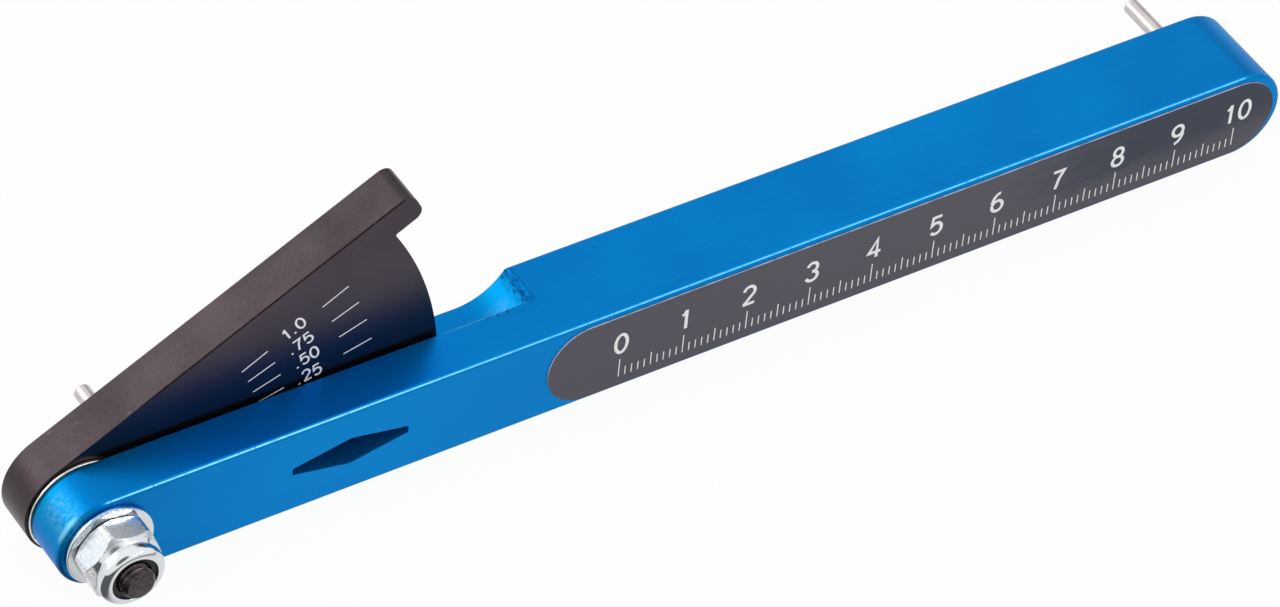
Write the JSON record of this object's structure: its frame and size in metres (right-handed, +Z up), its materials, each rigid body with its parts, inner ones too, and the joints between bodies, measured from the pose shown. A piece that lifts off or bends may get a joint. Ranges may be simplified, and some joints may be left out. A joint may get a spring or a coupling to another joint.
{
  "type": "chain wear gauge",
  "caption": "Hand gauge for bicycle chain wear: a square bar with a swinging graduated arm read through a window, and a pin out of the back at each end.",
  "frame": {"origin": "middle of the bar's underside, half way between the pivot axis and the fixed pin's axis", "axes": "+X along the bar from the pivot to the fixed pin, +Y from the labelled front face to the back where the pins stand out, +Z up"},
  "size_m": [0.192, 0.0358, 0.0412],
  "materials": {
    "blue_anodised": "satin blue anodised",
    "black_anodised": "matte black anodised, finely brushed",
    "label_film": "charcoal printed film",
    "steel_pin": "satin hardened steel",
    "black_oxide": "black oxide",
    "bright_washer": "bright stainless",
    "zinc_plate": "bright zinc plate",
    "nylon": "dark nylon"
  },
  "bodies": {
    "bar": {"body": "blue_anodised", "label": "label_film", "fixed_pin": "steel_pin", "pivot_screw": "black_oxide", "pivot_washer": "bright_washer", "nut_washer": "zinc_plate", "lock_nut": "zinc_plate", "nut_insert": "nylon"},
    "arm": {"indicator_arm": "black_anodised", "moving_pin": "steel_pin"}
  },
  "joints": [
    {"name": "arm_pivot", "type": "hinge", "parent": "bar", "child": "arm", "pos_m": [-0.08853, 0, 0.00715], "axis": [0, 1, 0], "range_deg": [-62.3, 28.5]}
  ]
}
